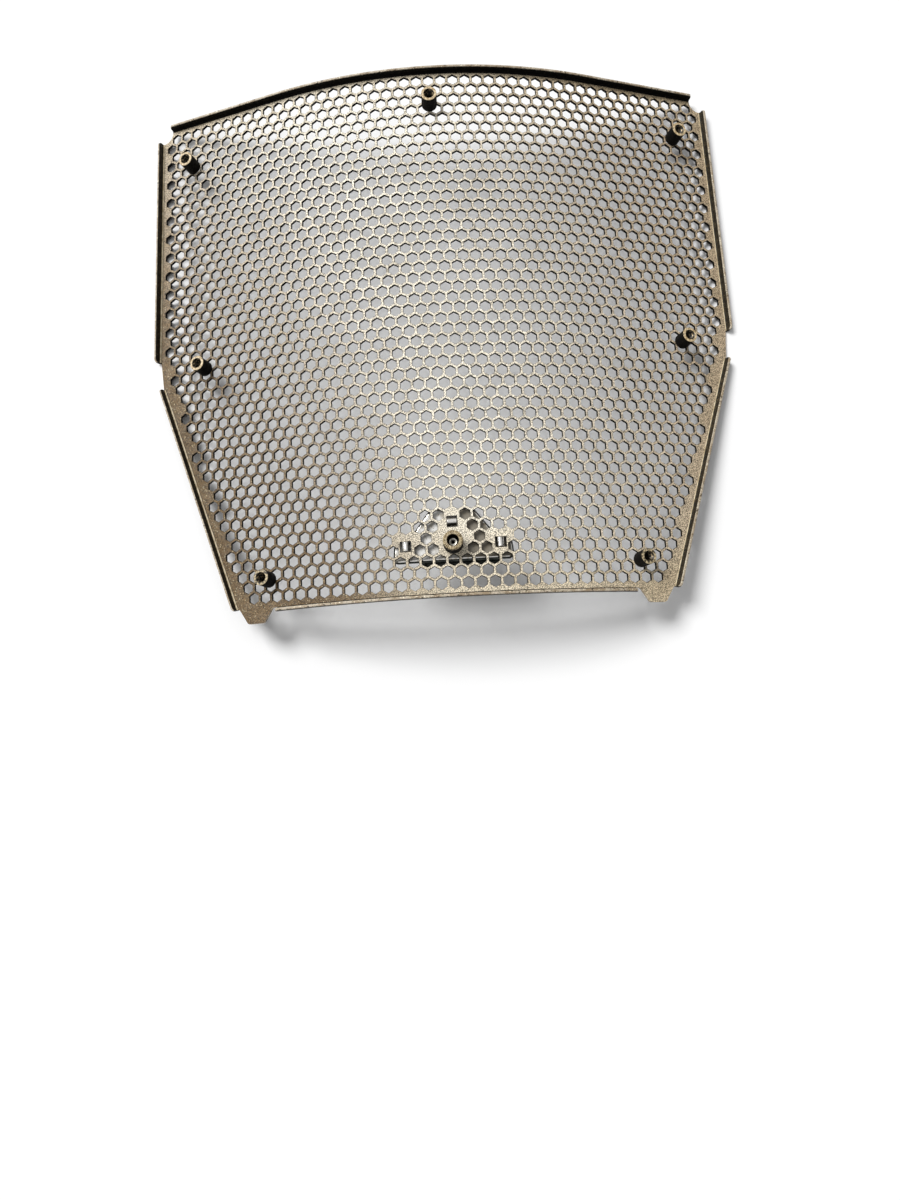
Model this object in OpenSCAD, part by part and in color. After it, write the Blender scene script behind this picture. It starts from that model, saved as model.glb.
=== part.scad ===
// Radiator guard: an arched, perforated aluminium panel with folded rims, stand-off posts
// on its rear face and a blank badge plate clipped through it.
// The guard lies arch up: X across, Y from the tabs to the top edge, Z up out of the rear face.

/* [Panel] */
// length from the tab ends to the top fold
panel_len = 310; // [260:5:360]
// thickness of the sheet
sheet_t = 1.5; // [1:0.1:2.5]
// half width over the sheet at the top corners
top_half_w = 170; // [150:1:190]
// half width over the sheet at the side gaps, the widest place
waist_half_w = 172.5; // [155:0.5:195]
// half width over the sheet at the top of the lower side folds
low_half_w = 169.4; // [152:0.2:192]
// half width over the sheet at the bottom of the side folds
foot_half_w = 123; // [115:1:150]
// distance from the top edge down to the side gaps
waist_from_top = 150; // [120:1:180]
// height of the gap between the upper and lower side folds
side_gap = 18; // [8:1:30]
// radius of the scalloped top corners
corner_r = 6.3; // [3:0.1:9]

/* [Arch] */
// radius of the arched middle, to the middle of the sheet
arch_r = 302; // [220:2:420]
// slope of the flat sides, in degrees
side_slope = 17.2; // [10:0.2:24]

/* [Folds] */
// height of the folded rim above the rear face
fold_h = 3.8; // [3:0.2:12]
// inner radius of the bends
bend_r = 1; // [0.5:0.1:2]
// half length of the bottom fold, over the sheet
foot_fold_half = 97; // [60:1:97]

/* [Tabs] */
// half distance between the two bottom tabs, over the sheet
tab_half_gap = 110; // [105:1:112]
// width of a tab at its root
tab_root_w = 20; // [16:1:24]
// width of a tab at its end
tab_tip_w = 10; // [6:1:14]
// length of a tab past the plain edge
tab_len = 7.8; // [4:0.2:14]

/* [Mesh] */
// distance between neighbouring holes, twice the real one to keep the file small
mesh_pitch = 14; // [12:0.5:20]
// hole width across its flats
hole_af = 11; // [8:0.5:11.5]
// plain rim left between the holes and a fold
mesh_rim = 4; // [3:0.5:12]

/* [Stand-offs] */
// outer diameter of a post
post_d = 8.6; // [7:0.2:11]
// height of a post above the rear face
post_h = 9; // [6:0.5:16]
// diameter of the tapped hole, as drilled
post_bore = 4.2; // [3:0.1:5]
// depth of the tapped hole
post_bore_depth = 8; // [4:0.5:15]
// distance from the top edge to the middle top post
top_post_drop = 22; // [16:1:34]
// half distance between the corner posts, over the sheet
corner_post_half = 147; // [130:1:152]
// distance from the top edge to the corner posts
corner_post_drop = 30; // [22:1:44]
// half distance between the side posts, over the sheet
waist_post_half = 140; // [120:1:150]
// distance from the top edge to the side posts
waist_post_drop = 159.5; // [130:0.5:180]
// half distance between the foot posts, over the sheet
foot_post_half = 101.5; // [90:0.5:108]
// distance from the tab ends to the foot posts
foot_post_rise = 23; // [18:0.5:40]

/* [Badge] */
// distance from the tab ends to the badge boss
boss_rise = 33.5; // [30:0.5:60]
// outer diameter of the boss
boss_d = 10.4; // [9:0.2:12]
// diameter of the wide end of the boss hole
boss_bore = 6.2; // [4:0.1:7]
// depth of the wide end of the boss hole
boss_bore_depth = 5; // [3:0.5:7]
// diameter of the narrow end of the boss hole
boss_pilot = 2; // [1:0.1:3]
// half distance between the two side slots
slot_half_gap = 24.8; // [20:0.2:30]
// distance from the boss up to the top slot
slot_rise = 12; // [11:0.5:16]
// slot width
slot_w = 5.4; // [4:0.1:7]
// slot height
slot_h = 5.8; // [4:0.1:7]
// thickness of the badge plate
badge_t = 1; // [0.8:0.1:1.5]
// gap between the badge plate and the front face
badge_gap = 1.5; // [1:0.1:4]
// half width of the badge plate at its foot
badge_foot_half = 31; // [28:1:36]
// half width of the badge plate at its top
badge_top_half = 11; // [6:1:16]
// how far the badge plate reaches below the boss
badge_drop = 8.2; // [7:0.2:12]
// how far the badge plate reaches above the boss
badge_rise = 18.5; // [18:0.5:22]
// height of a tab's loop above the rear face
loop_h = 0.8; // [0.4:0.1:2]

/* [Hidden] */
// the arch is folded in narrow flat strips, as on a press brake, so that its holes stay exact
strips = 13;
overlap = 0.02;
bend_out = bend_r + sheet_t;
y_top = panel_len / 2;
y_tabs = -panel_len / 2;
y_edge = y_tabs + tab_len;
y_foot = y_edge - bend_out;
y_waist = y_top - waist_from_top;
y_low = y_waist - side_gap;
arch_half = arch_r * side_slope * PI / 180;
strip_a = 2 * side_slope / strips;
strip_z = arch_r * cos(strip_a / 2);
in_r = arch_r - sheet_t / 2;
out_r = arch_r + sheet_t / 2;
x_top = top_half_w - arch_half;
x_waist = waist_half_w - arch_half;
x_low = low_half_w - arch_half;
x_foot = foot_half_w - arch_half;
corner_y = y_top - bend_out;
y_side_top = corner_y - corner_r;
// the top fold runs out at the scalloped corners
top_fold_half = top_half_w - 2 - corner_r;
// lowest point of the panel: the round of the side fold at the widest place
base_z = (in_r + bend_out) * cos(side_slope) - (x_waist - bend_out) * sin(side_slope) - bend_out;
hole_r = hole_af / sqrt(3);
row_gap = mesh_pitch * sqrt(3) / 2;
mesh_top = y_top - sheet_t - 1.5 - hole_r;
mesh_low = y_foot + sheet_t + 3 + hole_r;
rows = floor((mesh_top - mesh_low) / row_gap);
row_0 = (mesh_top + mesh_low) / 2 + rows * row_gap / 2;
boss_y = y_tabs + boss_rise;
slots = [[0, boss_y + slot_rise, 0], [slot_half_gap, boss_y, 90], [-slot_half_gap, boss_y, 90]];
posts = [[0, y_top - top_post_drop],
    [corner_post_half, y_top - corner_post_drop], [-corner_post_half, y_top - corner_post_drop],
    [waist_post_half, y_top - waist_post_drop], [-waist_post_half, y_top - waist_post_drop],
    [foot_post_half, y_tabs + foot_post_rise], [-foot_post_half, y_tabs + foot_post_rise]];

// half width of the sheet at height y, over the sheet
function half_w(y) = y > y_waist ? waist_half_w + (top_half_w - waist_half_w) * (y - y_waist) / (y_side_top - y_waist)
    : y > y_low ? low_half_w + (waist_half_w - low_half_w) * (y - y_low) / (y_waist - y_low)
    : foot_half_w + (low_half_w - foot_half_w) * (y - y_edge) / (y_low - y_edge);
// the arch's section at radius r, from strip edge to strip edge
function arch(r) = [for (k = [0 : strips]) let (a = -side_slope + k * strip_a) [r * sin(a), r * cos(a)]];
function rev(l) = [for (k = [len(l) - 1 : -1 : 0]) l[k]];
function near(s, y, q, d) = norm([s - q[0], y - q[1]]) < d;
// a hole stays out of the rim, the post feet, the boss and the slots
function hole_fits(s, y) = abs(s) + hole_af / 2 + mesh_rim + bend_out / 2 < half_w(y)
    && len([for (q = posts) if (near(s, y, q, hole_af / 2 + post_d / 2)) 1]) == 0
    && !near(s, y, [0, boss_y], hole_af / 2 + boss_d / 2 + 1)
    && len([for (q = slots) if (near(s, y, q, hole_af / 2 + slot_h / 2 + 1)) 1]) == 0;

// places children on the sheet at s across and y along it, with Z out of the rear face
module on_sheet(s, y) {
    a = max(-side_slope, min(side_slope, s / arch_r * 180 / PI));
    rotate([0, a, 0]) translate([s - a * arch_r * PI / 180, y, 0]) children();
}

// places children at s and y with Z = 0 on the rear face, on the middle strip or on a side
module on_rear(s, y) {
    on_sheet(s, y) translate([0, 0, (abs(s) < arch_half / strips ? strip_z : arch_r) + sheet_t / 2]) children();
}

// a length of the folded rim: it starts on the bend's edge and turns up from the sheet
module fold(length, lap) {
    rotate([90, 0, 0]) linear_extrude(length) {
        difference() {
            translate([-bend_out, 0]) square(bend_out);
            translate([-bend_out, bend_out]) circle(bend_r, $fn = 48);
            difference() {
                translate([-bend_out, -1]) square(bend_out + 1);
                translate([-bend_out, bend_out]) circle(bend_out, $fn = 96);
            }
        }
        translate([-bend_out - lap, 0]) square([lap, sheet_t]);
        translate([-sheet_t, bend_out]) square([sheet_t, sheet_t + fold_h - bend_out]);
    }
}

// the fold runs from p to q, where both lie on its outer face
module side_fold(p, q) {
    d = q - p;
    translate([p[0], p[1], 0]) rotate(atan2(d[0], -d[1])) fold(norm(d), 1);
}

// one flat side of the panel, laid flat: x from the arch outwards, the rear face up
module side_panel() {
    inset = bend_out - 0.01;
    in_top = x_top - inset;
    waist_in = x_waist - inset;
    tab_x = tab_half_gap - arch_half;
    linear_extrude(sheet_t) difference() {
        polygon([[-overlap, y_edge], [tab_x - tab_root_w / 2, y_edge], [tab_x - tab_tip_w / 2, y_tabs],
            [tab_x + tab_tip_w / 2, y_tabs], [tab_x + tab_root_w / 2, y_edge], [x_foot - inset, y_edge],
            [x_low - inset, y_low], [x_low - inset + 1, y_low], [waist_in, y_waist - 2], [waist_in, y_waist],
            [in_top, y_side_top], [in_top, y_top - sheet_t], [-overlap, y_top - sheet_t]]);
        translate([x_top - 2, corner_y]) circle(corner_r, $fn = 60);
    }
    side_fold([x_top, y_side_top], [x_waist, y_waist]);
    side_fold([x_low, y_low], [x_foot, y_edge]);
    translate([-overlap, y_top - sheet_t, 0]) cube([top_fold_half - arch_half + overlap, sheet_t, sheet_t + fold_h]);
    translate([-overlap, y_foot, 0]) cube([foot_fold_half - arch_half + overlap, sheet_t, sheet_t + fold_h]);
    translate([-overlap, y_foot + sheet_t / 2, 0])
        cube([foot_fold_half - arch_half + overlap, bend_out, sheet_t]);
}

// a band of the arch between two radii, from y0 to y1
module arch_band(r0, r1, y0, y1) {
    translate([0, y1, 0]) rotate([90, 0, 0]) linear_extrude(y1 - y0) polygon(concat(arch(r0), rev(arch(r1))));
}

module mesh_panel() {
    color("#a08c66") translate([0, 0, -base_z]) difference() {
        union() {
            arch_band(in_r, out_r, y_foot, y_top);
            arch_band(in_r, out_r + fold_h, y_top - sheet_t, y_top);
            arch_band(in_r, out_r + fold_h, y_foot, y_foot + sheet_t);
            for (m = [0, 1]) mirror([m, 0, 0])
                rotate([0, side_slope, 0]) translate([0, 0, in_r]) side_panel();
        }
        for (j = [0 : rows]) let (y = row_0 - j * row_gap)
            for (i = [-14 : 14]) let (s = (i + (j % 2) / 2) * mesh_pitch)
                if (hole_fits(s, y)) on_sheet(s, y)
                    translate([0, 0, arch_r - sheet_t * 2]) rotate(30) cylinder(r = hole_r, h = sheet_t * 4, $fn = 6);
        for (q = slots) on_sheet(q[0], q[1]) translate([0, 0, arch_r])
            cube([q[2] == 0 ? slot_w : slot_h, q[2] == 0 ? slot_h : slot_w, sheet_t * 4], center = true);
    }
}

// seven tapped posts that hold the guard off the radiator
module standoff_posts() {
    color("#2b2721") translate([0, 0, -base_z]) for (q = posts) on_rear(q[0], q[1]) difference() {
        cylinder(d = post_d, h = post_h, $fn = 64);
        translate([0, 0, post_h - post_bore_depth]) cylinder(d = post_bore, h = post_bore_depth + 1, $fn = 48);
    }
}

// the wide boss in the middle of the badge place, with a stepped hole
module badge_boss() {
    color("#b59a6a") translate([0, 0, -base_z]) on_rear(0, boss_y) difference() {
        cylinder(d = boss_d, h = post_h, $fn = 64);
        translate([0, 0, post_h - boss_bore_depth]) cylinder(d = boss_bore, h = boss_bore_depth + 1, $fn = 48);
        translate([0, 0, 1]) cylinder(d = boss_pilot, h = post_h, $fn = 32);
    }
}

// the blank badge plate on the front face; its three looped tabs come up through the slots
module badge_plate() {
    face = in_r - badge_gap;
    low = boss_y - badge_drop;
    loop_r = slot_w / 2 - 0.5;
    color("#c8c8c4") translate([0, 0, -base_z]) {
        intersection() {
            arch_band(face - badge_t, face, low - 1, boss_y + badge_rise + 1);
            translate([0, 0, face - 20]) linear_extrude(40) polygon([
                [-badge_foot_half, low], [badge_foot_half, low], [badge_foot_half - 1, boss_y + 4],
                [badge_top_half + 8, boss_y + 8], [badge_top_half, boss_y + badge_rise],
                [-badge_top_half, boss_y + badge_rise], [-badge_top_half - 8, boss_y + 8],
                [-badge_foot_half + 1, boss_y + 4]]);
        }
        for (q = slots) on_sheet(q[0], q[1]) rotate(q[2] + 90) translate([0, 0, face - badge_t / 2]) {
            rise = badge_gap + badge_t / 2 + sheet_t + loop_h - loop_r;
            rotate([90, 0, 0]) linear_extrude(slot_h - 1.4, center = true) {
                translate([0, rise]) difference() {
                    circle(loop_r, $fn = 48);
                    circle(loop_r - 0.9, $fn = 48);
                    translate([-loop_r - 1, -2 * loop_r]) square([2 * loop_r + 2, 2 * loop_r]);
                }
                for (x = [-loop_r, loop_r - 0.9]) translate([x, 0]) square([0.9, rise]);
            }
        }
    }
}

mesh_panel();
standoff_posts();
badge_boss();
badge_plate();
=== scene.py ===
import math

import bpy
import numpy as np
from mathutils import Matrix, Vector
from mathutils.geometry import delaunay_2d_cdt


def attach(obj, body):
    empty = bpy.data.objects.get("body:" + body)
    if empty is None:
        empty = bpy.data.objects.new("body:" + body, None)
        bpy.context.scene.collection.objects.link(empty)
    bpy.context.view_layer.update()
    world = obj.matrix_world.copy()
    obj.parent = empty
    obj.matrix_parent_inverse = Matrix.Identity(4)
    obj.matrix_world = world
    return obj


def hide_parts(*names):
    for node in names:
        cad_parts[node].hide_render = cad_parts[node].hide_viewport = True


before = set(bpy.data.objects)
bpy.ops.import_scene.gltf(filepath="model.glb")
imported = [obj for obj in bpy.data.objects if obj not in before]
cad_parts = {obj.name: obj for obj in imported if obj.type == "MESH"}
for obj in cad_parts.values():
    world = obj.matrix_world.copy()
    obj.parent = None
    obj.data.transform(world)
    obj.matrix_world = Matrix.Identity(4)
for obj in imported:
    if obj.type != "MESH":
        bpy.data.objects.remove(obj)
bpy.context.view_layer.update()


# The panel: one sheet of 1.5 mm aluminium, punched with hexagonal holes, pressed to an arch
# with flat sides and folded up along its edges. It was coated black; dust and wear have turned
# its rear face pale, and a painted sheen makes it paler down the middle. It is drawn flat, at s
# across it, y along it and h above its middle.
MM = 0.001
SHEET = 1.5
REAR, FRONT = SHEET / 2, -SHEET / 2
ARCH_R = 302.0
SLOPE = math.radians(17.2)
ARCH_HALF = ARCH_R * SLOPE
BEND = 1.0
BEND_OUT = BEND + SHEET
FOLD_H = 3.8
Y_TOP, Y_TABS = 155.0, -155.0
TOP_HALF, WAIST_HALF, LOW_HALF, FOOT_HALF = 170.0, 172.5, 169.4, 123.0
Y_WAIST, Y_LOW, Y_EDGE = 5.0, -13.0, -147.2
SCALLOP_R, SCALLOP_IN = 6.3, 2.0
FOOT_FOLD_HALF = 97.0
BASE_Z = ((ARCH_R - REAR + BEND_OUT) * math.cos(SLOPE)
          - (WAIST_HALF - ARCH_HALF - BEND_OUT) * math.sin(SLOPE) - BEND_OUT)
Y_BEND = Y_TOP - BEND_OUT
Y_SIDE_TOP = Y_BEND - SCALLOP_R


def arched(flat):
    """Points at s, y and h over the flat sheet, in millimetres, as points of the frame."""
    s, y, h = flat[:, 0], flat[:, 1], flat[:, 2]
    turn = np.clip(s / ARCH_R, -SLOPE, SLOPE)
    past, r = s - turn * ARCH_R, ARCH_R + h
    x = r * np.sin(turn) + past * np.cos(turn)
    z = r * np.cos(turn) - past * np.sin(turn) - BASE_Z
    return np.stack([x, y, z], 1) * MM


def turned(flat, normals):
    """Directions over the flat sheet, turned with the arch at each point."""
    turn = np.clip(flat[:, 0] / ARCH_R, -SLOPE, SLOPE)
    c, s = np.cos(turn), np.sin(turn)
    x = normals[:, 0] * c + normals[:, 2] * s
    z = normals[:, 2] * c - normals[:, 0] * s
    return np.stack([x, normals[:, 1], z], 1)


class Shell:
    """A mesh drawn flat, with a normal at each face corner and a finish for each face."""

    def __init__(self):
        self.points, self.faces, self.normals, self.finish = [], [], [], []

    def point(self, s, y, h):
        self.points.append((s, y, h))
        return len(self.points) - 1

    def facing(self, corners):
        """The direction from which the corners run anticlockwise."""
        loop = [Vector(self.points[k]) for k in corners]
        return sum((a.cross(b) for a, b in zip(loop, loop[1:] + loop[:1])), Vector((0, 0, 0)))

    def face(self, corners, normals, finish=0):
        """Adds a face, turned to agree with its normals: one direction, or one for each corner."""
        if not isinstance(normals, list):
            normals = [normals] * len(corners)
        outward = sum((Vector(n) for n in normals), Vector((0, 0, 0)))
        if self.facing(corners).dot(outward) < 0:
            corners, normals = corners[::-1], normals[::-1]
        self.faces.append(corners)
        self.normals.extend(normals)
        self.finish.append(finish)

    def facet(self, corners, finish=0):
        """Adds a flat face, whose own direction is its normal."""
        self.face(corners, tuple(self.facing(corners)), finish)

    def build(self, name, finishes, bend=True):
        """Makes the object, arched with the sheet or left upright about its own axis."""
        flat = np.array(self.points, float)
        mesh = bpy.data.meshes.new(name)
        mesh.from_pydata(arched(flat) if bend else flat * MM, [], self.faces)
        for finish in finishes:
            mesh.materials.append(finish)
        mesh.polygons.foreach_set("material_index", self.finish)
        mesh.polygons.foreach_set("use_smooth", [True] * len(self.faces))
        normals = np.array(self.normals, float)
        if bend:
            corners = np.array([v for f in self.faces for v in f])
            normals = turned(flat[corners], normals)
        normals /= np.linalg.norm(normals, axis=1)[:, None]
        mesh.normals_split_custom_set(normals.tolist())
        made = bpy.data.objects.new(name, mesh)
        bpy.context.scene.collection.objects.link(made)
        return made


def half_width(y):
    """Half width of the sheet to the outside of its folds."""
    if y > Y_WAIST:
        low, high, at_low, at_high = Y_WAIST, Y_SIDE_TOP, WAIST_HALF, TOP_HALF
    elif y > Y_LOW:
        low, high, at_low, at_high = Y_LOW, Y_WAIST, LOW_HALF, WAIST_HALF
    else:
        low, high, at_low, at_high = Y_EDGE, Y_LOW, FOOT_HALF, LOW_HALF
    return at_low + (at_high - at_low) * (y - low) / (high - low)


def stepped(p, q, near_p=(), near_q=(), step=6.0):
    """Points from p up to q, without q: even steps, and closer ones at the given distances."""
    length = math.dist(p, q)
    even = max(1, math.ceil(length / step))
    at = {length * k / even for k in range(even)} | set(near_p) | {length - d for d in near_q}
    return [(p[0] + (q[0] - p[0]) * d / length, p[1] + (q[1] - p[1]) * d / length)
            for d in sorted(at) if d < length]


def rounded(corners, radius, n=4):
    """A line through the corners, with every corner but the two ends rounded."""
    out = [corners[0]]
    for before, corner, after in zip(corners, corners[1:], corners[2:]):
        here = Vector(corner)
        back, on = (Vector(before) - here).normalized(), (Vector(after) - here).normalized()
        half = back.angle(on) / 2
        reach = radius / math.tan(half)
        centre = here + (back + on).normalized() * radius / math.sin(half)
        start, end = here + back * reach - centre, here + on * reach - centre
        out += [tuple(centre + start.lerp(end, k / n).normalized() * radius) for k in range(n + 1)]
    return out + [corners[-1]]


def bend_line(p, q):
    """The line that a fold from p to q is bent along, where p and q lie on its outer face."""
    d = (Vector(q) - Vector(p)).normalized() * BEND_OUT
    return (p[0] + d.y, p[1] - d.x), (q[0] + d.y, q[1] - d.x)


# the right half of the flat outline, clockwise from the middle of the top
CORNER_CUT = 1.9
SCALLOP_STEP = 10.6
GAP_FOOT = 168.2
TAB_ROOT, TAB_TIP, TAB_ROUND = (99.8, 119.6), (105.0, 114.7), 1.8
NEAR_END = [CORNER_CUT * k for k in (0.12, 0.35, 0.65, 1.0)]
side_top, side_waist = bend_line((TOP_HALF, Y_SIDE_TOP), (WAIST_HALF, Y_WAIST))
side_low, side_foot = bend_line((LOW_HALF, Y_LOW), (FOOT_HALF, Y_EDGE))
top_end = (TOP_HALF - SCALLOP_IN - SCALLOP_R, Y_BEND)
scallop = [(TOP_HALF - SCALLOP_IN + SCALLOP_R * math.cos(a), Y_BEND + SCALLOP_R * math.sin(a))
           for a in (math.radians(180 + SCALLOP_STEP * k) for k in range(1, 9))]
foot_end = (FOOT_FOLD_HALF, Y_EDGE)
tab = rounded([side_foot, (TAB_ROOT[1], Y_EDGE), (TAB_TIP[1], Y_TABS), (TAB_TIP[0], Y_TABS),
               (TAB_ROOT[0], Y_EDGE), foot_end], TAB_ROUND)
TOP, SIDE, FOOT, PLAIN = "top", "side", "foot", "plain"
right_half = [
    (TOP, stepped((0, Y_BEND), top_end, near_q=NEAR_END)),
    (PLAIN, [top_end] + scallop),
    (SIDE, stepped(side_top, side_waist, NEAR_END, NEAR_END)),
    (PLAIN, [side_waist, (GAP_FOOT, Y_LOW), (side_low[0], Y_LOW)]),
    (SIDE, stepped(side_low, side_foot, NEAR_END, NEAR_END)),
    (PLAIN, tab[:-1]),
    (FOOT, stepped(foot_end, (0, Y_EDGE), near_p=NEAR_END))]


def left_half():
    """The right half mirrored, so that the outline goes on up to the middle of the top."""
    ends = [points[0] for _, points in right_half[1:]] + [(0, Y_EDGE)]
    return [(kind, [(-s, y) for s, y in [end] + points[:0:-1]])
            for (kind, points), end in zip(right_half[::-1], ends[::-1])]


# the foot fold is one run, and the top fold goes round the outline's start
run_list = right_half[:-1] + [(FOOT, right_half[-1][1] + left_half()[0][1])] + left_half()[1:]
border = [p for _, points in run_list for p in points]

# the mesh: 7 mm pitch, kept clear of the folds, the boss and the slots
PITCH, HOLE_FLATS = 7.0, 5.5
HOLE_R = HOLE_FLATS / math.sqrt(3)
ROW_0_Y, ROWS, IN_ROW = 15.5, range(-22, 27), range(-25, 26)
UPPER_CLEAR, LOWER_CLEAR, BOSS_CLEAR, SLOT_CLEAR = 5.5, 7.09, 8.1, 6.0
EDGE_ROUND = 0.16
BOSS_Y = -121.5
SLOT_ACROSS, SLOT_ALONG = 5.4, 5.8
SLOT_PLACES = [(0.0, BOSS_Y + 12, False), (24.8, BOSS_Y, True), (-24.8, BOSS_Y, True)]

# how forming moved the mesh: in towards the middle on each side of a still line, and down
STILL_Y, UPPER_DRAW, LOWER_DRAW = 20, 0.0115, 0.005
SINK_FROM_Y, CORNER_SINK, LIFT = 50, 1.2, 0.4


def drawn_in(s, y):
    """Where forming the sheet leaves a point of the mesh: drawn in a little at the corners."""
    across = 1 - (UPPER_DRAW if y > STILL_Y else LOWER_DRAW) * ((y - STILL_Y) / 125) ** 2
    down = ((max(0, y - SINK_FROM_Y) / 95) ** 1.5
            + CORNER_SINK * (y - STILL_Y) / 125 * (s / 160) ** 2
            - LIFT - LIFT * math.tanh((y + 20) / 20))
    return s * across, y - down


def hexagon(s, y, radius):
    corners = [math.radians(60 * k) for k in range(6)]
    return [drawn_in(s + radius * math.sin(a), y + radius * math.cos(a)) for a in corners]


def slot(s, y, on_end, margin):
    half = [SLOT_ACROSS / 2 + margin, SLOT_ALONG / 2 + margin]
    w, d = half[::-1] if on_end else half
    return [(s - w, y - d), (s - w, y + d), (s + w, y + d), (s + w, y - d)]


def hole_places():
    """Centres of the punched holes."""
    for j in ROWS:
        y = ROW_0_Y - j * PITCH * math.sqrt(3) / 2
        for i in IN_ROW:
            s = (i + (j % 2) / 2) * PITCH
            near_slot = any(math.dist((s, y), place[:2]) < SLOT_CLEAR for place in SLOT_PLACES)
            near_boss = math.dist((s, y), (0, BOSS_Y)) < BOSS_CLEAR
            room = half_width(y) - (UPPER_CLEAR if y > Y_WAIST else LOWER_CLEAR)
            if abs(s) <= room and not near_slot and not near_boss:
                yield s, y


walls = ([hexagon(s, y, HOLE_R) for s, y in hole_places()]
         + [slot(*place, 0) for place in SLOT_PLACES])
mouths = ([hexagon(s, y, HOLE_R + EDGE_ROUND * 2 / math.sqrt(3)) for s, y in hole_places()]
          + [slot(*place, EDGE_ROUND) for place in SLOT_PLACES])


def inside(x, y, loop):
    """Whether a point lies inside a closed line."""
    crossings = sum((y0 > y) != (y1 > y) and x < x0 + (x1 - x0) * (y - y0) / (y1 - y0)
                    for (x0, y0), (x1, y1) in zip(loop, loop[1:] + loop[:1]))
    return crossings % 2 == 1


# the two faces: one flat pattern, cut into triangles between its border and the holes' mouths
FACE, WALL, RIM, CLEAN, GLINT = range(5)
UP, DOWN = (0, 0, 1), (0, 0, -1)
panel = Shell()
pattern, edges, loop_of = [], [], []
for n, loop in enumerate([border] + mouths):
    first = len(pattern)
    pattern += [Vector(p) for p in loop]
    loop_of += [n] * len(loop)
    edges += [(first + k, first + (k + 1) % len(loop)) for k in range(len(loop))]
cut, _, triangles, origin, _, _ = delaunay_2d_cdt(pattern, edges, [], 1, 1e-6, True)
source = [o[0] for o in origin]
rear_ids, front_ids = [0] * len(cut), [0] * len(cut)
for k, p in zip(source, cut):
    rear_ids[k] = panel.point(p.x, p.y, REAR)
    front_ids[k] = panel.point(p.x, p.y, FRONT)
for triangle in triangles:
    t = [source[k] for k in triangle]
    loops = {loop_of[k] for k in t}
    a, b, c = (pattern[k] for k in t)
    middle = (a + b + c) / 3
    in_hole = len(loops) == 1 and loops != {0}
    off_sheet = loops == {0} and not inside(middle.x, middle.y, border)
    if in_hole or off_sheet:
        continue
    panel.face([rear_ids[k] for k in t], UP, FACE)
    panel.face([front_ids[k] for k in t], DOWN, CLEAN)

# the walls of the holes, with the punched edges rounded over
start = len(border)
for loop in walls:
    high = [panel.point(*p, REAR - EDGE_ROUND) for p in loop]
    low = [panel.point(*p, FRONT + EDGE_ROUND) for p in loop]
    for k in range(len(loop)):
        m = (k + 1) % len(loop)
        d = Vector(loop[m]) - Vector(loop[k])
        wall = (d.y / d.length, -d.x / d.length, 0)
        rear, front = ([ids[start + n] for n in (k, m)] for ids in (rear_ids, front_ids))
        # the walls and their rear rounding take the black coat, deepened to near black as painted
        # shade in the holes
        panel.face([*rear, high[m], high[k]], [UP, UP, wall, wall], WALL)
        panel.face([high[k], high[m], low[m], low[k]], wall, WALL)
        panel.face([low[k], low[m], *front[::-1]], [wall, wall, DOWN, DOWN], CLEAN)
    start += len(loop)

# the section of a fold, as steps out from the bend line and up from the sheet's middle
BEND_STEPS = [math.radians(a) for a in (0, 14, 28, 44, 60, 75, 90)]
RIM_CUT = 0.3
PALE_EDGE = 1.0


def fold_section(radius, side, top):
    """One side of a fold: (out, up) with its normal, from the bend line to the rim."""
    points = [(radius * math.sin(a), REAR + BEND - radius * math.cos(a),
               side * math.sin(a), -side * math.cos(a)) for a in BEND_STEPS]
    lean = radius + (RIM_CUT if side < 0 else -RIM_CUT)
    points += [(radius, top - RIM_CUT, side, 0), (lean, top, side * 0.4, 1)]
    return points + ([(BEND_OUT - PALE_EDGE, top, 0, 1)] if side < 0 else [])


def fold(ids, bands):
    """Bends a rim up along a run of the border; bands are the finishes of its inner side."""
    line = [Vector(border[i]) for i in ids]
    along = (line[-1] - line[0]).normalized()
    out = Vector((-along.y, along.x))
    rows = []
    for p, i in zip(line, ids):
        left = CORNER_CUT - min(CORNER_CUT, (p - line[0]).length, (p - line[-1]).length)
        drop = CORNER_CUT - math.sqrt(CORNER_CUT ** 2 - left ** 2)
        top = REAR + FOLD_H - drop
        inner, outer = fold_section(BEND, -1, top), fold_section(BEND_OUT, 1, top)
        rows.append([[foot] + [panel.point(*(p + out * u), h) for u, h, _, _ in section[1:]]
                     for foot, section in ((rear_ids[i], inner), (front_ids[i], outer))])
    sides = ((0, inner, bands), (1, outer, [CLEAN] * 7 + [RIM]))
    for row, after in zip(rows, rows[1:]):
        for side, section, finishes in sides:
            for k, finish in enumerate(finishes):
                quad = [row[side][k], after[side][k], after[side][k + 1], row[side][k + 1]]
                n0, n1 = ((out.x * n[2], out.y * n[2], n[3]) for n in section[k:k + 2])
                panel.face(quad, [n0, n0, n1, n1], finish)
        panel.face([row[0][-1], after[0][-1], after[1][-1], row[1][-1]], UP, RIM)
    for (inner, outer), way in ((rows[0], -1), (rows[-1], 1)):
        for k in range(len(outer) - 1):
            panel.face([inner[k], inner[k + 1], outer[k + 1], outer[k]],
                       (along.x * way, along.y * way, 0), CLEAN)
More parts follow.
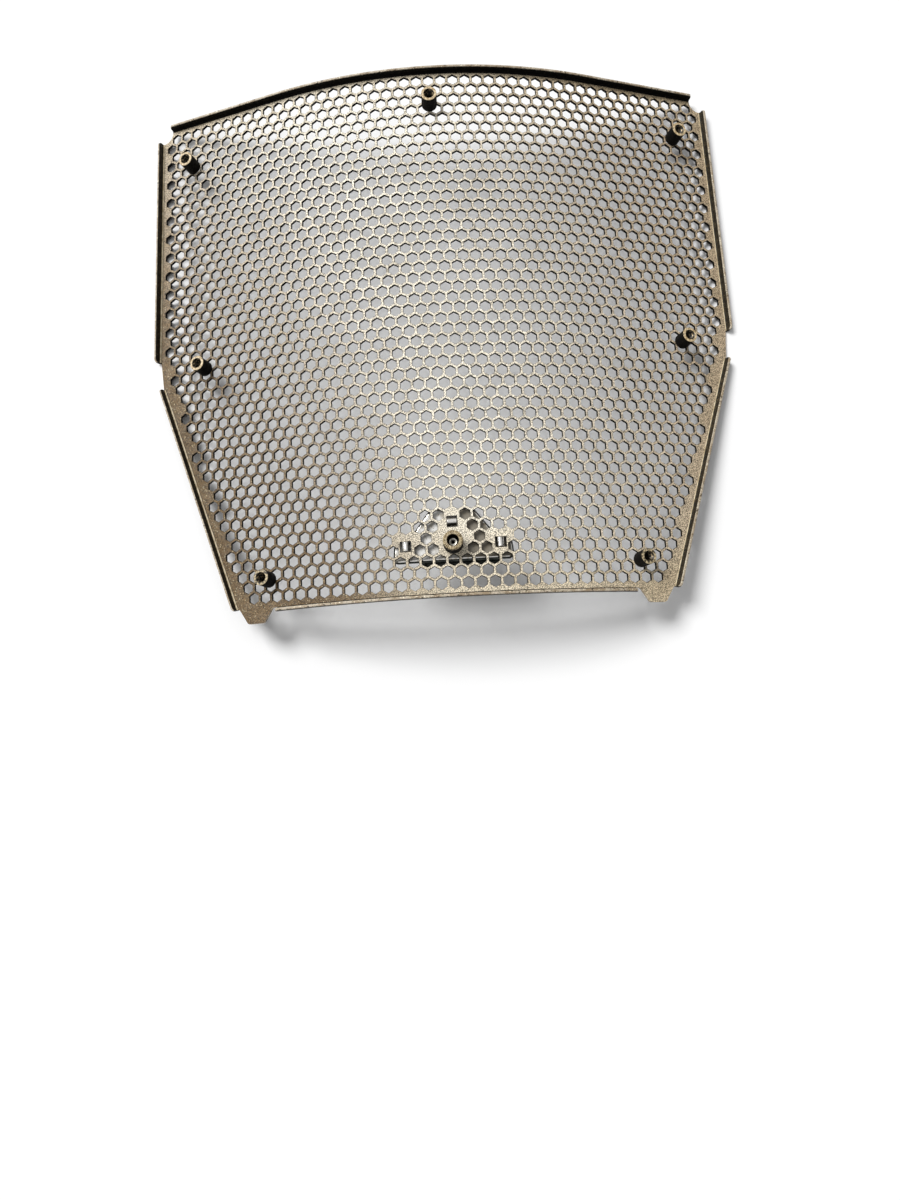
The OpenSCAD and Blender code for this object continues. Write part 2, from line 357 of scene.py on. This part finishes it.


# the side bends carry a painted highlight line, and the rims' tops are painted lit and shaded
# the left rims' tops are painted dark as shade, pale only at their outer edge; the right ones are
# painted light, as lit
LEFT_SIDE_SHADED = [WALL, GLINT, GLINT, GLINT] + [CLEAN] * 5
RIGHT_SIDE_LIT = [GLINT, GLINT] + [CLEAN] * 5 + [RIM] * 2
# the top and foot folds' inner faces take the black coat, near black as painted shade
PLAIN_BANDS = [WALL] * 7 + [RIM] * 2
first = 0
for kind, points in run_list:
    ids = [(first + k) % len(border) for k in range(len(points) + 1)]
    if kind == PLAIN:
        for a, b in zip(ids, ids[1:]):
            d = Vector(border[b]) - Vector(border[a])
            panel.face([rear_ids[a], front_ids[a], front_ids[b], rear_ids[b]],
                       (-d.y / d.length, d.x / d.length, 0), RIM)
    elif kind == TOP and first == 0:
        right_top = ids
    elif kind == TOP:
        fold(ids + right_top[1:], PLAIN_BANDS)
    else:
        side_bands = RIGHT_SIDE_LIT if points[0][0] > 0 else LEFT_SIDE_SHADED
        fold(ids, side_bands if kind == SIDE else PLAIN_BANDS)
    first += len(points)


class Finish:
    """A surface finish, mixed from noises laid over the piece's own metres."""

    def __init__(self, name, metallic=0.0, specular=0.5):
        self.material = bpy.data.materials.new(name)
        self.material.use_nodes = True
        self.tree = self.material.node_tree
        self.shader = self.tree.nodes["Principled BSDF"]
        self.shader.inputs["Metallic"].default_value = metallic
        self.shader.inputs["Specular IOR Level"].default_value = specular
        self.place = self.node("ShaderNodeTexCoord").outputs["Object"]

    def node(self, kind, settings=(), **inputs):
        """A node, with its settings, and each input given as a value or an output to link."""
        made = self.tree.nodes.new(kind)
        for name, value in dict(settings).items():
            setattr(made, name, value)
        for name, value in inputs.items():
            socket = made.inputs[int(name[1:])] if name[1:].isdigit() else made.inputs[name]
            if isinstance(value, bpy.types.NodeSocket):
                self.tree.links.new(value, socket)
            else:
                socket.default_value = value
        return made

    def span(self, value, low, high, to_low=0.0, to_high=1.0):
        """The value eased from to_low, where it is low, up to to_high."""
        made = self.node("ShaderNodeMapRange", {"interpolation_type": "SMOOTHSTEP"},
                         _0=value, _1=low, _2=high, _3=to_low, _4=to_high)
        return made.outputs["Result"]

    def noise(self, per_metre, low, high, detail=2.0, to_low=0.0, to_high=1.0):
        """Spots of that many a metre, eased between two levels of the noise."""
        made = self.node("ShaderNodeTexNoise", Vector=self.place, Scale=per_metre, Detail=detail)
        return self.span(made.outputs["Fac"], low, high, to_low, to_high)

    def across(self, x, y, z=0.0):
        """How far a point lies in that direction."""
        made = self.node("ShaderNodeVectorMath", {"operation": "DOT_PRODUCT"},
                         _0=self.place, _1=(x, y, z))
        return made.outputs["Value"]

    def sum(self, operation, a, b=0.0):
        return self.node("ShaderNodeMath", {"operation": operation}, _0=a, _1=b).outputs[0]

    def mix(self, amount, a, b):
        """Colour a, turned to colour b by the amount."""
        made = self.node("ShaderNodeMix", {"data_type": "RGBA"}, Factor=amount)
        for socket, colour in ((made.inputs["A"], a), (made.inputs["B"], b)):
            if isinstance(colour, bpy.types.NodeSocket):
                self.tree.links.new(colour, socket)
            else:
                socket.default_value = (*colour, 1)
        return made.outputs["Result"]

    def grained(self, colour, per_metre, low, high):
        """The colour with a fine grain, from low times to high times as bright."""
        made = self.node("ShaderNodeMix", {"data_type": "RGBA", "blend_type": "MULTIPLY"},
                         Factor=1.0, A=colour, B=self.noise(per_metre, 0.38, 0.62, 1.0, low, high))
        return made.outputs["Result"]

    def done(self, colour, roughness, bumps=(1400, 0.3, 0.00008)):
        """Gives the shader its colour, its roughness and a grain of that scale and height."""
        self.tree.links.new(colour, self.shader.inputs["Base Color"])
        self.tree.links.new(roughness, self.shader.inputs["Roughness"])
        scale, strength, height = bumps
        grain = self.noise(scale, 0.3, 0.7, 4.0)
        bump = self.node("ShaderNodeBump", Height=grain, Strength=strength, Distance=height)
        self.tree.links.new(bump.outputs["Normal"], self.shader.inputs["Normal"])
        return self.material


def dust_and_sheen_coat():
    """The rear face: dust, with a painted sheen making it cream down the middle, brown to the sides,
    finely speckled.
    """
    coat = Finish("dust_and_sheen_coat", specular=0.35)
    # a slanted band down the middle is painted cream as a sheen over the dusty coat, fading to brown
    # off it
    lean = coat.sum("MULTIPLY", coat.sum("MAXIMUM", coat.across(0, 1)), 0.42)
    from_ridge = coat.sum("ADD", coat.sum("ADD", coat.across(1, 0), lean), -0.005)
    off_sheen = coat.span(coat.sum("ABSOLUTE", from_ridge), 0.0, 0.17)
    tone = coat.mix(off_sheen, (0.82, 0.76, 0.63), (0.42, 0.325, 0.215))
    tone = coat.mix(coat.span(coat.across(0, 1), 0.12, 0.155, 0.0, 0.5), tone, (0.4, 0.32, 0.2))
    tone = coat.mix(coat.span(coat.across(0, -1), 0.1, 0.15, 0.0, 0.45), tone, (0.44, 0.34, 0.19))
    lower_left = coat.sum("MULTIPLY", coat.span(coat.across(-0.85, -0.7), 0.0, 0.165),
                          coat.span(coat.across(-1, 0), -0.01, 0.06))
    tone = coat.mix(lower_left, tone, (0.12, 0.075, 0.032))
    tone = coat.mix(coat.noise(60, 0.35, 0.7, 4.0, 0.0, 0.25), tone, (0.25, 0.18, 0.1))
    tone = coat.grained(tone, 2000, 0.35, 1.65)
    tone = coat.mix(coat.noise(1500, 0.63, 0.7, 2.0, 0.0, 0.7), tone, (0.95, 0.85, 0.55))
    tone = coat.mix(coat.noise(1250, 0.39, 0.33, 2.0, 0.0, 0.7), tone, (0.04, 0.026, 0.013))
    return coat.done(tone, coat.noise(300, 0.3, 0.7, 3.0, 0.45, 0.7))


def black_and_shade_coat():
    """The hole walls, the posts' bodies, the boss's bore and the top folds' inner faces: black coat,
    made near black as painted shade.
    """
    coat = Finish("black_and_shade_coat", specular=0.12)
    tone = coat.mix(coat.noise(900, 0.5, 0.75), (0.004, 0.0035, 0.003), (0.02, 0.016, 0.011))
    return coat.done(tone, coat.noise(400, 0.3, 0.7, 2.0, 0.6, 0.8))


def worn_and_lit_rim():
    """The cut edges, rubbed down to a light grey-beige; on the right rims' tops also painted light
    as the lit side.
    """
    coat = Finish("worn_and_lit_rim", specular=0.4)
    tone = coat.mix(coat.noise(200, 0.35, 0.65, 3.0), (0.5, 0.43, 0.33), (0.33, 0.25, 0.16))
    tone = coat.mix(coat.noise(1300, 0.55, 0.7), tone, (0.85, 0.78, 0.6))
    tone = coat.mix(coat.noise(700, 0.42, 0.32), tone, (0.1, 0.075, 0.045))
    return coat.done(tone, coat.noise(500, 0.3, 0.7, 2.0, 0.4, 0.6))


def clean_and_shade_coat():
    """The folds' sides and the front face: black coat with a thin brown bloom of dust; on the left
    rims' tops it is painted shade.
    """
    coat = Finish("clean_and_shade_coat", specular=0.2)
    tone = coat.mix(coat.noise(500, 0.4, 0.75, 4.0), (0.011, 0.009, 0.006), (0.05, 0.038, 0.02))
    tone = coat.mix(coat.noise(1500, 0.62, 0.75), tone, (0.25, 0.19, 0.1))
    return coat.done(tone, coat.noise(300, 0.3, 0.7, 2.0, 0.5, 0.75))


def painted_bend_highlight():
    """A painted highlight along the side bends, where they catch the light."""
    coat = Finish("painted_bend_highlight", specular=0.5)
    tone = coat.mix(coat.noise(350, 0.35, 0.65, 3.0), (0.85, 0.72, 0.48), (0.5, 0.39, 0.22))
    return coat.done(tone, coat.noise(500, 0.3, 0.7, 2.0, 0.35, 0.5))


BLACK_AND_SHADE_COAT, CLEAN_AND_SHADE_COAT = black_and_shade_coat(), clean_and_shade_coat()
guard = panel.build("perforated_panel",
                    [dust_and_sheen_coat(), BLACK_AND_SHADE_COAT, worn_and_lit_rim(), CLEAN_AND_SHADE_COAT, painted_bend_highlight()])
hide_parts("mesh_panel")
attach(guard, "root")


# The stand-off posts: seven turned aluminium posts on the rear face, tapped for M5 screws.
# Their ends are worn to a golden metal where the guard sat against its brackets.
POST_R, POST_H = 4.3, 9.0
TAP_R, CREST_R, TAP_MOUTH_R, TAP_FLOOR, THREAD = 2.5, 2.1, 2.95, 1.0, 0.8
POST_PLACES = [(0, 133), (147, 125), (-147, 125), (140, -4.5), (-140, -4.5),
               (101.5, -132), (-101.5, -132)]
AROUND = 48


def standing(s, y):
    """The matrix that stands a piece on the rear face, at s and y over the sheet."""
    foot = arched(np.array([[s, y, REAR]], float))[0]
    turn = max(-SLOPE, min(SLOPE, s / ARCH_R))
    return Matrix.Translation(foot) @ Matrix.Rotation(turn, 4, "Y")


def ring(shell, radius, height, around=AROUND):
    """A ring of points about the axis; radius and height are values, or rules on the angle."""
    angles = [2 * math.pi * k / around for k in range(around)]
    at = [(radius(a) if callable(radius) else radius, height(a) if callable(height) else height, a)
          for a in angles]
    return [shell.point(r * math.cos(a), r * math.sin(a), h) for r, h, a in at]


def skin(shell, rings, finish):
    """Faces from ring to ring, each with the direction that it faces."""
    for low, high in zip(rings, rings[1:]):
        for k in range(len(low)):
            m = (k + 1) % len(low)
            shell.facet([low[k], low[m], high[m], high[k]], finish)


def disc(shell, edge, finish, up=True):
    shell.face(edge if up else edge[::-1], UP if up else DOWN, finish)


def turn_up(shell, profile, finishes, around=AROUND):
    """Turns a profile of (radius, height) about the axis, smooth round it; gives its rings."""
    rings = [ring(shell, r, h, around) for r, h in profile]
    for n, finish in enumerate(finishes):
        (r0, h0), (r1, h1) = profile[n:n + 2]
        length = math.hypot(r1 - r0, h1 - h0)
        side, up = (h1 - h0) / length, (r0 - r1) / length
        for k in range(around):
            m = (k + 1) % around
            a, b = (2 * math.pi * i / around for i in (k, k + 1))
            na, nb = ((side * math.cos(t), side * math.sin(t), up) for t in (a, b))
            shell.face([rings[n][k], rings[n][m], rings[n + 1][m], rings[n + 1][k]],
                       [na, nb, nb, na], finish)
    return rings


BODY, END, BORE = range(3)


def tapped_post():
    post = Shell()
    rim = POST_H - (TAP_MOUTH_R - TAP_R)
    profile = [(POST_R, 0), (POST_R, POST_H - 0.3), (POST_R - 0.08, POST_H - 0.08),
               (POST_R - 0.3, POST_H), (TAP_MOUTH_R, POST_H), (TAP_R, rim)]
    rings = turn_up(post, profile, [BODY, END, END, END, BORE])
    disc(post, rings[0], BODY, up=False)
    turns = (rim - TAP_FLOOR) / THREAD
    steps = int(turns * 6)
    bore = [rings[-1]]
    for n in range(1, steps + 1):
        h = rim - (rim - TAP_FLOOR) * n / steps
        depth = (TAP_R - CREST_R) * min(1, n / 6)
        bore.append(ring(post, lambda a: TAP_R - depth * (
            1 - abs(2 * ((h / THREAD + a / 2 / math.pi) % 1) - 1)), h))
    skin(post, bore, BORE)
    disc(post, bore[-1], BORE)
    return post


def worn_end(name, bare, dull, pits):
    """Turned ends: bare golden metal, dulled in blotches and pitted."""
    metal = Finish(name, specular=0.5)
    tone = metal.mix(metal.noise(650, 0.4, 0.6, 3.0), bare, dull)
    tone = metal.mix(metal.noise(1500, 0.46, 0.34, 2.0, 0.0, pits), tone, (0.05, 0.035, 0.018))
    return metal.done(tone, metal.noise(700, 0.3, 0.7, 2.0, 0.3, 0.5))


def cut_thread():
    """The tapped holes: cut metal, painted near black as the shade inside them, lighter in sparse
    flecks.
    """
    metal = Finish("cut_thread", metallic=0.3)
    tone = metal.mix(metal.noise(1100, 0.52, 0.66, 2.0), (0.01, 0.008, 0.005), (0.4, 0.31, 0.18))
    return metal.done(tone, metal.noise(700, 0.3, 0.7, 2.0, 0.25, 0.4))


post_shell = tapped_post()
clean_end = worn_end("clean_end", (0.8, 0.64, 0.4), (0.4, 0.28, 0.13), 0.9)
grimy_end = worn_end("grimy_end", (0.62, 0.5, 0.3), (0.04, 0.03, 0.016), 1.0)
thread_metal = cut_thread()
for n, place in enumerate(POST_PLACES):
    end = grimy_end if place[1] < -100 else clean_end
    post = post_shell.build(f"standoff_post_{n + 1}", [BLACK_AND_SHADE_COAT, end, thread_metal], bend=False)
    post.matrix_world = standing(*place)
    if n == 0:
        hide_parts("standoff_posts")
    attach(post, "root")


# The badge boss: a wide turned boss whose end is serrated to grip, with a stepped hole. A
# bright steel seat for the badge's screw sits at the bottom of the wide bore.
BOSS_R, BOSS_BORE_R, BOSS_BORE_DEPTH, PILOT_R, PILOT_FLOOR = 5.2, 3.1, 5.0, 0.75, 1.0
TEETH, TOOTH_DEPTH = 30, 0.45
boss_shell = Shell()
AROUND_BOSS = TEETH * 6


def toothed(height, share):
    """A height on the serrated ring, lowered between its teeth."""
    return lambda a: height - TOOTH_DEPTH * share * (0.5 - 0.5 * math.cos(TEETH * a))


foot_ring = ring(boss_shell, BOSS_R, 0, AROUND_BOSS)
grip = [foot_ring, ring(boss_shell, BOSS_R, POST_H - 0.9, AROUND_BOSS),
        ring(boss_shell, BOSS_R, toothed(POST_H - 0.45, 1), AROUND_BOSS),
        ring(boss_shell, BOSS_R - 0.45, toothed(POST_H, 1), AROUND_BOSS),
        ring(boss_shell, BOSS_R - 1.2, toothed(POST_H, 0.5), AROUND_BOSS),
        ring(boss_shell, BOSS_BORE_R + 0.25, POST_H - 0.05, AROUND_BOSS),
        ring(boss_shell, BOSS_BORE_R, POST_H - 0.4, AROUND_BOSS)]
disc(boss_shell, foot_ring, BODY, up=False)
skin(boss_shell, grip[:2], BODY)
skin(boss_shell, grip[1:], END)
SEAT = BORE
floor_h = POST_H - BOSS_BORE_DEPTH
bore_rings = turn_up(boss_shell, [(BOSS_BORE_R, POST_H - 0.4), (BOSS_BORE_R, floor_h),
                                  (2.1, floor_h), (1.95, floor_h + 0.35), (1.3, floor_h + 0.2),
                                  (PILOT_R, floor_h - 0.3), (PILOT_R, PILOT_FLOOR)],
                     [BODY, BODY, SEAT, SEAT, SEAT, BODY], AROUND_BOSS)
disc(boss_shell, bore_rings[-1], BODY)


def bright_seat():
    metal = Finish("bright_seat", metallic=1.0)
    tone = metal.mix(metal.noise(500, 0.4, 0.65, 3.0), (0.6, 0.58, 0.53), (0.3, 0.28, 0.23))
    return metal.done(tone, metal.noise(600, 0.3, 0.7, 2.0, 0.25, 0.4))


serrated_end = worn_end("serrated_end", (0.56, 0.46, 0.28), (0.26, 0.19, 0.1), 1.0)
boss = boss_shell.build("badge_boss_turned", [BLACK_AND_SHADE_COAT, serrated_end, bright_seat()], bend=False)
boss.matrix_world = standing(0, BOSS_Y)
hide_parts("badge_boss")
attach(boss, "root")


# The badge plate: a blank tray pressed from 1 mm bright metal, held under the front face. Its
# edge is turned down all round, with a longer lip at the foot, and three loops of the same
# sheet come up through the slots.
TRAY_T, TRAY_FACE = 1.0, FRONT - 1.5
TRAY_LOW, TRAY_HIGH = BOSS_Y - 7.0, BOSS_Y + 18.5
TRAY_BEND, TRAY_TURN, FLANGE, LIP = 1.2, math.radians(62), 0.6, 4.4
LIP_SPAN = (-17.6, 24.2)
PLATE, TURNED, BRIGHT = range(3)
tray = Shell()
TRAY_HALVES, TRAY_HEIGHTS = (11, 19, 30, 31), (TRAY_HIGH, BOSS_Y + 8, BOSS_Y + 4, TRAY_LOW)
tray_corners = list(zip(TRAY_HALVES, TRAY_HEIGHTS))
around_tray = rounded([(0, TRAY_HIGH)] + tray_corners + [(-s, y) for s, y in tray_corners[::-1]]
                      + [(0, TRAY_HIGH)], 1.5)
tray_edge = [p for a, b in zip(around_tray, around_tray[1:]) for p in stepped(a, b, step=2.0)]
inner_points = [(s, y) for s in range(-30, 31, 3) for y in range(-128, -103, 3)
                if inside(s, y, tray_edge)]
tray_pattern = [Vector(p) for p in tray_edge + inner_points]
rim_edges = [(k, (k + 1) % len(tray_edge)) for k in range(len(tray_edge))]
cut, _, triangles, origin, _, _ = delaunay_2d_cdt(tray_pattern, rim_edges, [], 1, 1e-6, True)
top_ids = [tray.point(*p, TRAY_FACE) for p in tray_pattern]
low_ids = [tray.point(*p, TRAY_FACE - TRAY_T) for p in tray_pattern]
for triangle in triangles:
    t = [origin[k][0] for k in triangle]
    a, b, c = (tray_pattern[k] for k in t)
    middle = (a + b + c) / 3
    if inside(middle.x, middle.y, tray_edge):
        tray.face([top_ids[k] for k in t], UP, PLATE)
        tray.face([low_ids[k] for k in t], DOWN, PLATE)


def tray_rim(k):
    """The turned-down edge at a point: its outer and inner lines, with the outer normals."""
    p = tray_pattern[k]
    back, on = (tray_pattern[(k + d) % len(tray_edge)] for d in (-1, 1))
    along = (on - back).normalized()
    out = Vector((-along.y, along.x))
    lip = abs(p.y - TRAY_LOW) < 0.01 and LIP_SPAN[0] < p.x < LIP_SPAN[1]
    lines, normals = [], []
    for radius, face in ((TRAY_BEND, top_ids[k]), (TRAY_BEND - TRAY_T, low_ids[k])):
        ids = [face]
        for step in range(1, 6):
            a = TRAY_TURN * min(step, 4) / 4
            reach = (LIP if lip else FLANGE) if step == 5 else 0
            u = radius * math.sin(a) + reach * math.cos(a)
            h = TRAY_FACE - TRAY_BEND + radius * math.cos(a) - reach * math.sin(a)
            ids.append(tray.point(*(p + out * u), h))
        lines.append(ids)
    for step in range(6):
        a = TRAY_TURN * min(step, 4) / 4
        normals.append((out.x * math.sin(a), out.y * math.sin(a), math.cos(a)))
    return lines, normals


rims = [tray_rim(k) for k in range(len(tray_edge))]
for ((outer, inner), n0), ((outer_on, inner_on), n1) in zip(rims, rims[1:] + rims[:1]):
    for k in range(5):
        finish = TURNED if k >= 2 else BRIGHT
        tray.face([outer[k], outer[k + 1], outer_on[k + 1], outer_on[k]],
                  [n0[k], n0[k + 1], n1[k + 1], n1[k]], finish)
        below = [tuple(-c for c in n) for n in (n0[k], n0[k + 1], n1[k + 1], n1[k])]
        tray.face([inner[k], inner[k + 1], inner_on[k + 1], inner_on[k]], below, finish)
    tray.facet([outer[5], inner[5], inner_on[5], outer_on[5]], TURNED)

# the loops: a half round on two legs, with its long edges softened
LOOP_R, LOOP_T, LOOP_RISE, LOOP_W, SOFT = 2.2, 0.9, 0.8, 4.9, 0.15


def loop_section(radius):
    """The legs and the half round, as (across, up) with their normals."""
    centre = REAR + LOOP_RISE - LOOP_R
    turns = [math.radians(15 * k) for k in range(13)]
    arch = [(-radius * math.cos(a), centre + radius * math.sin(a), -math.cos(a), math.sin(a))
            for a in turns]
    return [(-radius, TRAY_FACE, -1, 0)] + arch + [(radius, TRAY_FACE, 1, 0)]


def add_loop(s, y, on_end):
    """A loop at a slot; on_end turns its half round to run along the panel."""
    def facing(across, along, up):
        return (across, along, up) if on_end else (-along, across, up)

    def at(across, along, h):
        u, v, _ = facing(across, along, 0)
        return s + u, y + v, h

    half = LOOP_W / 2
    sides = []
    for radius, way in ((LOOP_R, 1), (LOOP_R - LOOP_T, -1)):
        section, soft_section = loop_section(radius), loop_section(radius - SOFT * way)
        lines = [([tray.point(*at(u, v, h)) for u, h, _, _ in points], tilt)
                 for points, v, tilt in ((soft_section, -half, -1), (section, SOFT - half, 0),
                                         (section, half - SOFT, 0), (soft_section, half, 1))]
        sides.append(lines)
        for (ids, tilt), (ids_on, tilt_on) in zip(lines, lines[1:]):
            for k in range(len(section) - 1):
                normals = [facing(section[i][2] * way, lean, section[i][3] * way)
                           for i, lean in ((k, tilt), (k + 1, tilt), (k + 1, tilt_on), (k, tilt_on))]
                tray.face([ids[k], ids[k + 1], ids_on[k + 1], ids_on[k]], normals, BRIGHT)
    for n, along in ((0, -1), (3, 1)):
        outer, inner = sides[0][n][0], sides[1][n][0]
        for k in range(len(outer) - 1):
            tray.face([outer[k], outer[k + 1], inner[k + 1], inner[k]], facing(0, along, 0), BRIGHT)


for place in SLOT_PLACES:
    add_loop(*place)


def satin_plate():
    """Bright rolled metal gone dull, with brown smears, and painted shade darker to the right."""
    metal = Finish("satin_plate", specular=0.3)
    tone = metal.mix(metal.noise(260, 0.4, 0.7, 4.0), (0.84, 0.83, 0.8), (0.5, 0.46, 0.38))
    # darker to the right: painted shade, where the plate turns from the light
    tone = metal.mix(metal.span(metal.across(1, 0), 0.0, 0.008, 0.0, 0.9), tone, (0.2, 0.17, 0.12))
    tone = metal.mix(metal.noise(1200, 0.6, 0.72), tone, (0.2, 0.16, 0.1))
    return metal.done(tone, metal.noise(500, 0.3, 0.7, 3.0, 0.3, 0.5), (900, 0.15, 0.00004))


def polished_bend():
    """Where the sheet was drawn over the tool, bright as a mirror."""
    metal = Finish("polished_bend", metallic=1.0)
    tone = metal.mix(metal.noise(600, 0.45, 0.7, 3.0), (0.92, 0.9, 0.86), (0.5, 0.44, 0.34))
    return metal.done(tone, metal.noise(500, 0.3, 0.7, 2.0, 0.1, 0.22), (900, 0.1, 0.00003))


# the turned-down edge and the lip of the same bright sheet are painted near black, as shade under
# the plate
def shade_dark_edge():
    metal = Finish("shade_dark_edge", metallic=0.6, specular=0.3)
    tone = metal.mix(metal.noise(400, 0.4, 0.7, 3.0), (0.012, 0.015, 0.012), (0.04, 0.045, 0.038))
    return metal.done(tone, metal.noise(500, 0.3, 0.7, 2.0, 0.2, 0.35))


badge = tray.build("badge_tray", [satin_plate(), shade_dark_edge(), polished_bend()])
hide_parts("badge_plate")
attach(badge, "root")


# The studio: a white floor under one broad soft light from behind the top edge, to the left,
# with the side towards the camera left dark.
LIGHT_FROM = Vector((-0.47, 0.47, 0.75)).normalized()
floor_mesh = bpy.data.meshes.new("floor")
floor_mesh.from_pydata([(-3, -3, 0), (3, -3, 0), (3, 3, 0), (-3, 3, 0)], [], [(0, 1, 2, 3)])
floor = bpy.data.objects.new("floor", floor_mesh)
bpy.context.scene.collection.objects.link(floor)
paper = Finish("white_floor", specular=0.0)
paper.shader.inputs["Base Color"].default_value = (0.97, 0.97, 0.97, 1)
paper.shader.inputs["Roughness"].default_value = 0.9
floor_mesh.materials.append(paper.material)

sky = bpy.data.worlds.new("soft_sky")
sky.use_nodes = True
nodes, links = sky.node_tree.nodes, sky.node_tree.links
towards = nodes.new("ShaderNodeTexCoord")
facing = nodes.new("ShaderNodeVectorMath")
facing.operation = "DOT_PRODUCT"
facing.inputs[1].default_value = LIGHT_FROM
level = nodes.new("ShaderNodeMapRange")
level.interpolation_type = "SMOOTHSTEP"
for socket, value in zip(level.inputs[1:5], (-0.1, 0.9, 0.05, 0.69)):
    socket.default_value = value
links.new(towards.outputs["Generated"], facing.inputs[0])
links.new(facing.outputs["Value"], level.inputs[0])
links.new(level.outputs["Result"], nodes["Background"].inputs["Strength"])
nodes["Background"].inputs["Color"].default_value = (1, 1, 1, 1)
bpy.context.scene.world = sky

sun = bpy.data.lights.new("key_light", "SUN")
sun.energy, sun.angle = 2.7, math.radians(26)
key = bpy.data.objects.new("key_light", sun)
key.rotation_euler = LIGHT_FROM.to_track_quat("Z", "Y").to_euler()
bpy.context.scene.collection.objects.link(key)

camera_data = bpy.data.cameras.new("camera")
camera_data.sensor_width, camera_data.lens = 36, 25.5
camera = bpy.data.objects.new("camera", camera_data)
camera.rotation_mode = "ZYX"
camera.rotation_euler = (0.1571, 0.0096, -0.0546)
camera.location = (0.000986, -0.21927, 0.46985)
bpy.context.scene.collection.objects.link(camera)
bpy.context.scene.camera = camera
bpy.context.scene.view_settings.view_transform = "Standard"
